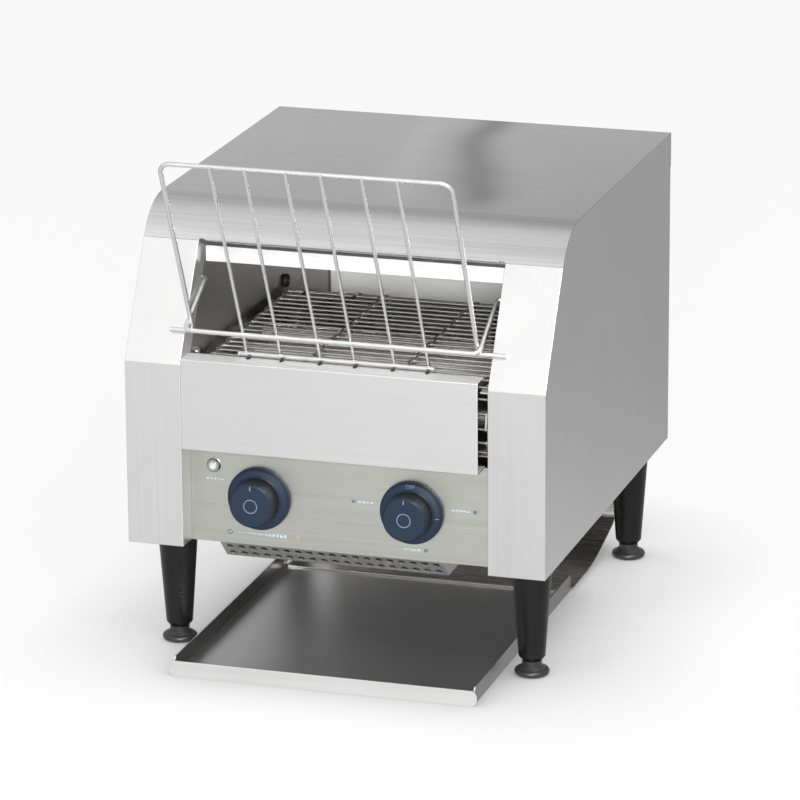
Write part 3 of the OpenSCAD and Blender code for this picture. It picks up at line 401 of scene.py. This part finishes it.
def blendBase(finish, share, other):
    # the base colour where the share is 1, the other colour where it is 0
    tree = finish.node_tree
    base = tree.nodes["Principled BSDF"].inputs["Base Color"]
    mix = tree.nodes.new("ShaderNodeMix")
    mix.data_type = "RGBA"
    mix.inputs["A"].default_value = (*other, 1)
    tree.links.new(base.links[0].from_socket, mix.inputs["B"])
    tree.links.new(share, mix.inputs["Factor"])
    tree.links.new(mix.outputs["Result"], base)


def setMetallic(finish, share):
    # the metal share follows a socket
    finish.node_tree.links.new(share, finish.node_tree.nodes["Principled BSDF"].inputs["Metallic"])


# painted reflections and light on the hood: a dark and a pale band, a slow painted light, and a painted highlight
# on the hem
hoodSettings = {
    "from": (0.020, 0.405), "to": (0.076, 0.150),   # x and depth behind the posts, along the dark band
    "darkWidth": 0.020, "dark": 0.48,
    "paleOffset": -0.060, "paleWidth": 0.016, "pale": 0.12,
    "wobble": 0.012, "wobbleScale": 7.0,
    "edge": 0.12, "edgeReach": 0.04,                 # depth at which the bands fade out before the bend
    "leftTilt": 0.09, "halfWidth": 0.18,             # painted light that grows slowly to the left
    "backTilt": 0.07, "tiltDepth": 0.20,             # and to the back
    "hemTop": 0.3575, "hemDepth": 0.075, "hemHighlightGrey": (0.95, 0.95, 0.95),
}


def hoodSteelPaintedLight(name, colour, roughness, bands):
    # brushed steel times painted reflection bands: 1 - dark exp(-(d/w)^2) + pale exp(-((d-o)/v)^2), d across the
    # band
    finish = brushedSteel(name, colour, roughness, "x", 0.05, 0.03)
    tree = finish.node_tree
    axes = axesOf(tree, "Object")
    depth = mathNode(tree, "SUBTRACT", axes["Y"], faceY)
    (x0, y0), (x1, y1) = bands["from"], bands["to"]
    lean = (x1 - x0) / (y1 - y0)
    line = mathNode(tree, "MULTIPLY_ADD", depth, lean, x0 - lean * y0)
    wobble = evenNoise(tree, tree.nodes.new("ShaderNodeTexCoord"), bands["wobbleScale"], 1.0)
    line = mathNode(tree, "ADD", line, toRange(tree, wobble, -bands["wobble"], bands["wobble"]))
    across = mathNode(tree, "SUBTRACT", axes["X"], line)

    def bell(offset, width, height):
        # height exp(-((across - offset) / width)^2)
        part = mathNode(tree, "DIVIDE", mathNode(tree, "SUBTRACT", across, offset), width)
        power = mathNode(tree, "MULTIPLY", mathNode(tree, "MULTIPLY", part, part), -1.0)
        return mathNode(tree, "MULTIPLY", mathNode(tree, "EXPONENT", power), height)

    pale = bell(bands["paleOffset"], bands["paleWidth"], bands["pale"])
    dark = bell(0.0, bands["darkWidth"], -bands["dark"])
    start, end = bands["edge"] - bands["edgeReach"], bands["edge"] + bands["edgeReach"]
    fade = toRange(tree, depth, 0.0, 1.0, start, end, "SMOOTHSTEP")
    change = mathNode(tree, "MULTIPLY", mathNode(tree, "ADD", pale, dark), fade)
    # painted light, paler to the left and to the back, times the painted reflection bands
    left = mathNode(tree, "MULTIPLY", axes["X"], -bands["leftTilt"] / bands["halfWidth"])
    back = mathNode(tree, "MULTIPLY_ADD", depth, bands["backTilt"] / bands["tiltDepth"], 1.0 - bands["backTilt"])
    drift = mathNode(tree, "ADD", left, back)
    scaleBase(finish, mathNode(tree, "MULTIPLY", drift, mathNode(tree, "ADD", change, 1.0)))
    # painted highlight: the rolled hem under the front edge is paler and satin
    low = mathNode(tree, "LESS_THAN", axes["Z"], bands["hemTop"])
    front = mathNode(tree, "LESS_THAN", depth, bands["hemDepth"])
    outsideHem = mathNode(tree, "SUBTRACT", 1.0, mathNode(tree, "MULTIPLY", low, front))
    blendBase(finish, outsideHem, bands["hemHighlightGrey"])
    setMetallic(finish, outsideHem)
    return finish


def twoSided(finish, inner, splitY):
    # painted reflection: a sheet whose faces in front of a depth have another colour and no metal share
    behind = mathNode(finish.node_tree, "GREATER_THAN", axesOf(finish.node_tree, "Object")["Y"], splitY)
    blendBase(finish, behind, inner)
    setMetallic(finish, behind)
    return finish


def topLit(finish, metallic, low, high):
    # satin upper faces: the metal share drops where the surface looks up, in between two normal lengths
    tree = finish.node_tree
    setMetallic(finish, toRange(tree, axesOf(tree, "Normal")["Z"], 1.0, metallic, low, high))
    return finish


def facingShade(finish, axis, share, low, high):
    # painted light and shade: the sheet's colour times a share on faces that look along an axis, in between two
    # normal lengths
    tree = finish.node_tree
    along = mathNode(tree, "ABSOLUTE", axesOf(tree, "Normal")[axis])
    scaleBase(finish, toRange(tree, along, 1.0, share, low, high))
    return finish


def rearShade(finish, share, start, reach):
    # the sheet's colour falls to a share of itself from a depth on, over a reach
    tree = finish.node_tree
    scaleBase(finish, toRange(tree, axesOf(tree, "Object")["Y"], 1.0, share, start, start + reach))
    return finish


def knobPlastic(name, cap, side, roughness):
    # moulded plastic with painted shade: darker on the walls that face sideways than on the faces towards the
    # user
    finish = mouldedPlastic(name, cap, roughness, 900.0, 0.06, 0.27)
    tree = finish.node_tree
    blendBase(finish, toRange(tree, axesOf(tree, "Normal")["Y"], 1.0, 0.0, -0.75, -0.35), side)
    return finish


# finishes: one for each material slot, and some for single nodes

greySteel = (0.25, 0.24, 0.235)
traySteel = brushedSteel("traySteel", (0.80, 0.79, 0.78), 0.32, "x", 0.03, 0.04, bump=0.05)
coverSteel = brushedSteel("coverSteel", (0.715, 0.715, 0.71), 0.36, "x", 0.012, 0.01, bump=0.03)
finishes = {
    "casing_sheet": brushedSteel("casingSteel", (0.705, 0.705, 0.70), 0.36, "z", 0.018, 0.02, bump=0.04),
    "hood_sheet": hoodSteelPaintedLight("hoodSteelPaintedLight", (0.575, 0.575, 0.575), 0.30, hoodSettings),
    "cover_sheet": topLit(coverSteel, 0.2, 0.80, 0.98),
    "panel_sheet": brushedSteel("panelSteel", (0.460, 0.460, 0.431), 0.40, "x", 0.03, 0.02, bump=0.05),
    "base_sheet": brushedSteel("baseSteel", (0.52, 0.52, 0.53), 0.45),
    "chamber_sheet": brushedSteel("chamberSteel", greySteel, 0.30),
    "bright_sheet": brushedSteel("brightSteel", (0.84, 0.84, 0.83), 0.30, metallic=0.75),
    "quartz": mouldedPlastic("quartzTube", (0.80, 0.79, 0.76), 0.15, 60.0, 0.02, 0.6),
    "ceramic": mouldedPlastic("glazedCeramic", (0.82, 0.80, 0.74), 0.22, 300.0, 0.04, 0.6),
    "belt_wire": plainMetal("beltWire", (0.50, 0.485, 0.465), 0.46, 0.06),
    "shaft_steel": plainMetal("groundSteel", (0.55, 0.55, 0.55), 0.25),
    "sprocket_steel": plainMetal("sprocketSteel", (0.30, 0.30, 0.31), 0.35),
    "bronze": plainMetal("bushBronze", (0.60, 0.45, 0.24), 0.35),
    "motor_paint": mouldedPlastic("motorEnamel", (0.05, 0.05, 0.055), 0.4, 500.0, 0.1),
    "chain_steel": plainMetal("chainSteel", (0.28, 0.28, 0.28), 0.35),
    "fan_plastic": mouldedPlastic("fanPlastic", (0.03, 0.03, 0.03), 0.5),
    # the second colour is the knobs' painted shade on their sideways walls
    "knob_plastic": knobPlastic("knobNavy", (0.0078, 0.0165, 0.0330), (0.008, 0.0095, 0.012), 0.45),
    "control_plastic": mouldedPlastic("controlBlue", (0.08, 0.15, 0.25), 0.5),
    "bright_trim": plainMetal("chromeTrim", (0.42, 0.42, 0.42), 0.16, 0.02),
    "lamp_lens": mouldedPlastic("lampLens", (0.50, 0.505, 0.49), 0.2, 300.0, 0.02, 0.6),
    "gland_plastic": mouldedPlastic("glandPlastic", (0.03, 0.03, 0.03), 0.5),
    "rack_wire": plainMetal("rackWire", (0.76, 0.76, 0.76), 0.30, 0.02, 0.004),
    # painted shade on the tray's side faces, painted light on its front and back faces
    "tray_sheet": facingShade(facingShade(traySteel, "X", 0.28, 0.5, 0.9), "Y", 1.22, 0.5, 0.9),
    "chute_sheet": brushedSteel("chuteSteel", (0.55, 0.54, 0.53), 0.26),
    "leg_paint": mouldedPlastic("legBlack", (0.0040, 0.0036, 0.0036), 0.3, 700.0, 0.05, 0.32),
    "foot_rubber": mouldedPlastic("footRubber", (0.016, 0.016, 0.016), 0.4, 700.0, 0.08),
    "screw_steel": plainMetal("screwZinc", (0.60, 0.60, 0.60), 0.3),
}

# a lit and shaded copy of the casing steel for the right casing: a paler base, and painted shade on the faces
# that look to the front and back
rightSteel = brushedSteel("rightCasingSteel", (0.72, 0.72, 0.715), 0.36, "z", 0.018, 0.02, bump=0.04)
rearSteel = brushedSteel("rearSteel", (0.66, 0.66, 0.65), 0.36)
wallSteel = brushedSteel("wallSteel", greySteel, 0.30, "x", 0.03)
ownFinish = {
    "right_casing": facingShade(rightSteel, "Y", 0.90, 0.4, 0.7),
    "upper_fascia": brushedSteel(
        "fasciaSteel", (0.92, 0.92, 0.915), 0.30, "x", 0.015, 0.01, metallic=0.5, bump=0.03),
    "vent_box": brushedSteel(
        "ventSteel", (0.38, 0.38, 0.375), 0.42, "x", 0.02, 0.02, metallic=0.85, bump=0.04),
    # painted reflection: the rear cover's inner face is pale and not metal
    "rear_cover": twoSided(rearSteel, (0.94, 0.94, 0.93), plateY + 0.0002),
    "left_inner_wall": rearShade(wallSteel, 0.12, plateY - 0.010, 0.003),
    "bed_plate": brushedSteel("bedSteel", (0.96, 0.96, 0.95), 0.40, "x", 0.03, 0.02, metallic=0.0),
}

for nodeName, node in nodes.items():
    node.data.materials.clear()
    node.data.materials.append(ownFinish.get(nodeName, finishes[slotOf[nodeName]]))
print("toaster: finishes set")

# added pieces: printed marks, knob rings and pointers, lip pads, sight ring, softened edges


def addPiece(name, mesh, finish, body):
    # a mesh as a piece of the object, on a body and in a material slot
    mesh.materials.clear()
    mesh.materials.append(finish)
    piece = addObject(name, mesh)
    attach(piece, body)
    return piece


def newPiece(name, shape, finish, body):
    # a piece from a list of points and a list of faces
    points, faces = shape
    mesh = bpy.data.meshes.new(name)
    mesh.from_pydata(points.tolist(), [], faces)
    return addPiece(name, mesh, finish, body)


def fullTurn(count):
    # evenly spaced angles once round
    return np.linspace(0, 2 * np.pi, count, endpoint=False)


def gridFaces(rows, columns, closeRows=False):
    # quads of a grid whose columns close on themselves, and whose rows do if asked
    row = np.arange(rows if closeRows else rows - 1)[:, None]
    column = np.arange(columns)[None, :]
    below, beside = (row + 1) % rows, (column + 1) % columns
    corners = (row * columns + column, row * columns + beside, below * columns + beside, below * columns + column)
    return np.stack(np.broadcast_arrays(*corners), -1).reshape(-1, 4).tolist()


def flatRing(centre, radius, width, front, back, segments=48):
    # a ring in the XZ plane: its square section goes round the centre, from front to back in depth
    angle = fullTurn(segments)[None, :]
    outer, inner = radius + width / 2, radius - width / 2
    reach = np.array([outer, inner, inner, outer])[:, None]
    depth = np.array([front, front, back, back])[:, None] + 0 * angle
    points = np.stack([centre[0] + reach * np.cos(angle), depth, centre[1] + reach * np.sin(angle)], -1)
    return points.reshape(-1, 3), gridFaces(4, segments, True)


def printedBars(bars, front, back):
    # thin bars in the XZ plane, each from its low corner to its high corner, between two depths
    bars = np.asarray(bars, float)
    x = bars[:, [0, 2, 2, 0, 0, 2, 2, 0]]
    z = bars[:, [1, 1, 3, 3, 1, 1, 3, 3]]
    y = np.broadcast_to(np.repeat([front, back], 4), x.shape)
    points = np.stack([x, y, z], -1).reshape(-1, 3)
    block = np.array([(0, 1, 2, 3), (7, 6, 5, 4), (0, 4, 5, 1), (1, 5, 6, 2), (2, 6, 7, 3), (3, 7, 4, 0)])
    faces = (block[None] + 8 * np.arange(len(bars))[:, None, None]).reshape(-1, 4)
    return points, faces.tolist()


def joinShapes(*shapes):
    # several point and face lists as one, each face's corners moved on by the points before it
    starts = np.cumsum([0] + [len(points) for points, _ in shapes])
    faces = [
        tuple(int(corner + start) for corner in face)
        for start, (_, part) in zip(starts, shapes) for face in part
    ]
    return np.concatenate([points for points, _ in shapes]), faces


def printInk(name, colour):
    # matt ink with hardly any drift in its colour
    return mouldedPlastic(name, colour, 0.5, 900.0, 0.03, 0.3, 0.06)


panelSettings = {
    "proud": 0.00008, "sunk": 0.0001,    # how far the print stands off the panel, and reaches into it
    "panelDepth": 0.022,                 # panel face behind the posts' faces
    "dashShare": 0.62,                   # a dash's length as a share of the pitch
    "caption": 0.0019 * np.array([1.0, 0.8, 1.0, 0.8, 1.0]),         # heights of a caption's dashes
    "shortCaption": 0.0019 * np.array([0.8, 1.0, 0.8, 1.0]),
    "scale": np.linspace(0.0008, 0.0030, 13),
    "rows": [                            # left, right and height of each row, and its dashes
        (-0.1205, -0.1035, 0.1585, "caption"),
        (-0.0925, -0.0485, 0.1124, "scale"),
        (0.0148, 0.0292, 0.1495, "shortCaption"),
        (0.0970, 0.1135, 0.1495, "caption"),
        (0.0545, 0.0700, 0.1115, "caption"),
    ],
    "squares": [                         # low corner and high corner
        (0.0088, 0.1483, 0.0122, 0.1507),
        (0.1155, 0.1480, 0.1187, 0.1510),
        (0.0722, 0.1101, 0.0758, 0.1131),
    ],
    "ring": {"centre": (-0.1000, 0.1124), "radius": 0.0019, "width": 0.0008, "segments": 24},
    "dot": {"centre": (-0.0395, 0.1126), "radius": 0.0008, "width": 0.0011, "segments": 20},
}


def dashRow(left, right, height, tall, share):
    # evenly spaced dashes between two places, each as tall as its own value
    pitch = (right - left) / len(tall)
    start = left + pitch * np.arange(len(tall))
    return np.stack([start, height - tall / 2, start + pitch * share, height + tall / 2], -1)


def makePanelMarks(settings):
    # captions as rows of dashes, symbols as squares and a ring, and a small dot
    face = faceY + settings["panelDepth"]
    front, back = face - settings["proud"], face + settings["sunk"]
    rows = [
        dashRow(left, right, height, settings[dashes], settings["dashShare"])
        for left, right, height, dashes in settings["rows"]
    ]
    captions = printedBars(np.concatenate(rows), front, back)
    newPiece("panelCaptions", captions, printInk("dialPrint", (0.33, 0.40, 0.42)), "housing")
    ring = flatRing(front=front, back=back, **settings["ring"])
    symbols = joinShapes(printedBars(settings["squares"], front, back), ring)
    newPiece("panelSymbols", symbols, printInk("bluePrint", (0.07, 0.13, 0.17)), "housing")
    dot = flatRing(front=front, back=back, **settings["dot"])
    newPiece("panelDot", dot, printInk("amberPrint", (0.30, 0.25, 0.09)), "housing")


knobSettings = {
    "centres": {"speed_knob": -0.0726, "function_knob": 0.0625},
    "height": 0.1452, "capDepth": -0.0040, "ridgeDepth": -0.0044,
    "proud": 0.0001, "sunk": 0.0002,                   # print off the cap, and into it
    "ringRadius": 0.0058, "ringWidth": 0.0008,
    "line": (-0.0006, 0.0140, 0.0006, 0.0178),         # low and high corner, from the knob's centre
    "skirtDepth": 0.0155, "skirtRadius": 0.0255, "coneSlope": 4, "coneRise": 0.001,
    "wordSize": 0.0046, "wordRadius": 0.0236, "wordRelief": 0.0001, "wordCurve": 3,
    "tick": (0.0215, -0.0028, 0.0250, -0.0020), "tickProud": 0.0009, "tickSunk": 0.0001,
}


def barFrom(centre, height, corners):
    # a bar whose corners are counted from a centre
    x0, z0, x1, z1 = corners
    return [(centre + x0, height + z0, centre + x1, height + z1)]


def coneDepth(points, centre, settings):
    # depth of the skirt's shallow cone, which rises by a quarter of the way from its rim towards the cap
    reach = np.hypot(points[:, 0] - centre, points[:, 2] - settings["height"])
    rise = np.clip((settings["skirtRadius"] - reach) / settings["coneSlope"], 0, settings["coneRise"])
    return faceY + settings["skirtDepth"] - rise


def makeKnobWord(settings, finish):
    # OFF in relief on the function knob's skirt, laid on its cone
    centre = settings["centres"]["function_knob"]
    word = bpy.data.curves.new("offWord", "FONT")
    word.body = "OFF"
    word.size = settings["wordSize"]
    word.align_x = "CENTER"
    word.align_y = "CENTER"
    word.extrude = settings["wordRelief"]
    word.resolution_u = settings["wordCurve"]
    holder = addObject("offWord", word)
    bpy.context.view_layer.update()
    mesh = bpy.data.meshes.new_from_object(holder.evaluated_get(bpy.context.evaluated_depsgraph_get()))
    bpy.data.objects.remove(holder)
    flat = np.empty(3 * len(mesh.vertices))
    mesh.vertices.foreach_get("co", flat)
    flat = flat.reshape(-1, 3)
    high = settings["height"] + settings["wordRadius"]
    points = np.stack([centre + flat[:, 0], 0 * flat[:, 0], high + flat[:, 1]], -1)
    points[:, 1] = coneDepth(points, centre, settings) - flat[:, 2]
    mesh.vertices.foreach_set("co", points.ravel())
    mesh.update()
    addPiece("functionKnobWord", mesh, finish, "function_knob")


def makeKnobMarks(settings):
    # a ring on each cap and a line on each ridge, then the word and a tick on the function knob's skirt
    ink = printInk("knobPrint", (0.11, 0.16, 0.24))
    proud, sunk, height = settings["proud"], settings["sunk"], settings["height"]
    cap, ridge = faceY + settings["capDepth"], faceY + settings["ridgeDepth"]
    for body, centre in settings["centres"].items():
        ring = flatRing((centre, height), settings["ringRadius"], settings["ringWidth"], cap - proud, cap + sunk)
        line = printedBars(barFrom(centre, height, settings["line"]), ridge - proud, ridge + sunk)
        newPiece(body + "Marks", joinShapes(ring, line), ink, body)
    makeKnobWord(settings, ink)
    rim = faceY + settings["skirtDepth"]
    bar = barFrom(settings["centres"]["function_knob"], height, settings["tick"])
    tick = printedBars(bar, rim - settings["tickProud"], rim + settings["tickSunk"])
    newPiece("functionKnobTick", tick, ink, "function_knob")


makePanelMarks(panelSettings)
makeKnobMarks(knobSettings)
print("toaster: marks printed")

padSettings = {
    "spots": (-0.0795, -0.0500, -0.0165, 0.0145, 0.0475, 0.0775),
    "depth": 0.0175, "height": 0.2690,       # middle of each pad behind the posts' faces, and the lip it sits on
    "halfWidth": 0.0015, "halfDepth": 0.0030,
    "levels": (-0.0001, 0.0007, 0.0011),     # heights of a pad's three outlines over the lip
    "shares": (1.0, 1.0, 0.75),              # and their size
    "segments": 20,
}


def makeLipPads(settings, finish):
    # dark rounded pads on the lip: a superellipse |x/a|^4 + |y/b|^4 = 1 carried up, drawn in at its top, and
    # closed by a fan
    count, levels = settings["segments"], settings["levels"]
    angle = fullTurn(count)
    turn = np.stack([np.cos(angle), np.sin(angle)])
    outline = np.sign(turn) * np.sqrt(np.abs(turn))
    share = np.array(settings["shares"])[:, None]
    height = settings["height"] + np.array(levels)[:, None]
    middle = faceY + settings["depth"]
    low, high, top = len(levels) * count, len(levels) * count + 1, (len(levels) - 1) * count
    caps = [(low, (i + 1) % count, i) for i in range(count)]
    caps += [(high, top + i, top + (i + 1) % count) for i in range(count)]
    shapes = []
    for spot in settings["spots"]:
        x = spot + settings["halfWidth"] * share * outline[0]
        y = middle + settings["halfDepth"] * share * outline[1]
        ring = np.stack(np.broadcast_arrays(x, y, height), -1).reshape(-1, 3)
        poles = [(spot, middle, settings["height"] + level) for level in (levels[0], levels[-1])]
        shapes.append((np.concatenate([ring, poles]), gridFaces(len(levels), count) + caps))
    newPiece("coverPads", joinShapes(*shapes), finish, "housing")


sightSettings = {
    "centre": (-0.1340, 0.2795, 0.2620),     # x, depth behind the posts' faces, and height
    "radius": 0.0052, "thick": 0.0010, "proud": 0.0018,
    "segments": 32, "sectionSegments": 12,
}


def makeSightRing(settings, finish):
    # a dark ring round the sight hole in the left wall, painted shade that makes the dark hole look wider: an
    # oval section turned about the hole's axis
    x, depth, height = settings["centre"]
    angle = fullTurn(settings["segments"])[None, :]
    bend = fullTurn(settings["sectionSegments"])[:, None]
    reach = settings["radius"] + settings["thick"] * np.cos(bend)
    side = x + settings["proud"] * np.sin(bend) + 0 * angle
    points = np.stack([side, faceY + depth + reach * np.cos(angle), height + reach * np.sin(angle)], -1)
    faces = gridFaces(settings["sectionSegments"], settings["segments"], True)
    newPiece("sightRing", (points.reshape(-1, 3), faces), finish, "housing")


darkPadsAndRing = mouldedPlastic("darkPadsAndRing", (0.010, 0.010, 0.010), 0.5, 900.0, 0.05, 0.4)
makeLipPads(padSettings, darkPadsAndRing)
makeSightRing(sightSettings, darkPadsAndRing)
print("toaster: pads and ring made")

edgeSettings = {
    "widths": {"front_cover": 0.0009, "left_casing": 0.0005, "right_casing": 0.0005, "vent_box": 0.0004},
    "merge": 1e-6,                           # points closer than this are one
    "flat": math.radians(1.0), "sharp": math.radians(40),
    "segments": 3,
}


def softenEdges(nodeName, width, settings):
    # a merged copy of the folded sheet, with its sharp edges rounded to the bend's radius
    source = nodes[nodeName]
    shell = bmesh.new()
    shell.from_mesh(source.data)
    bmesh.ops.remove_doubles(shell, verts=shell.verts, dist=settings["merge"])
    bmesh.ops.dissolve_limit(shell, angle_limit=settings["flat"], verts=shell.verts, edges=shell.edges)
    mesh = bpy.data.meshes.new(nodeName + "Soft")
    shell.to_mesh(mesh)
    shell.free()
    piece = addPiece(nodeName + "Soft", mesh, source.data.materials[0], "housing")
    bevel = piece.modifiers.new("bend", "BEVEL")
    bevel.width = width
    bevel.segments = settings["segments"]
    bevel.limit_method = "ANGLE"
    bevel.angle_limit = settings["sharp"]
    bevel.use_clamp_overlap = True
    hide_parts(nodeName)


for nodeName, width in edgeSettings["widths"].items():
    softenEdges(nodeName, width, edgeSettings)
print("toaster: edges softened")
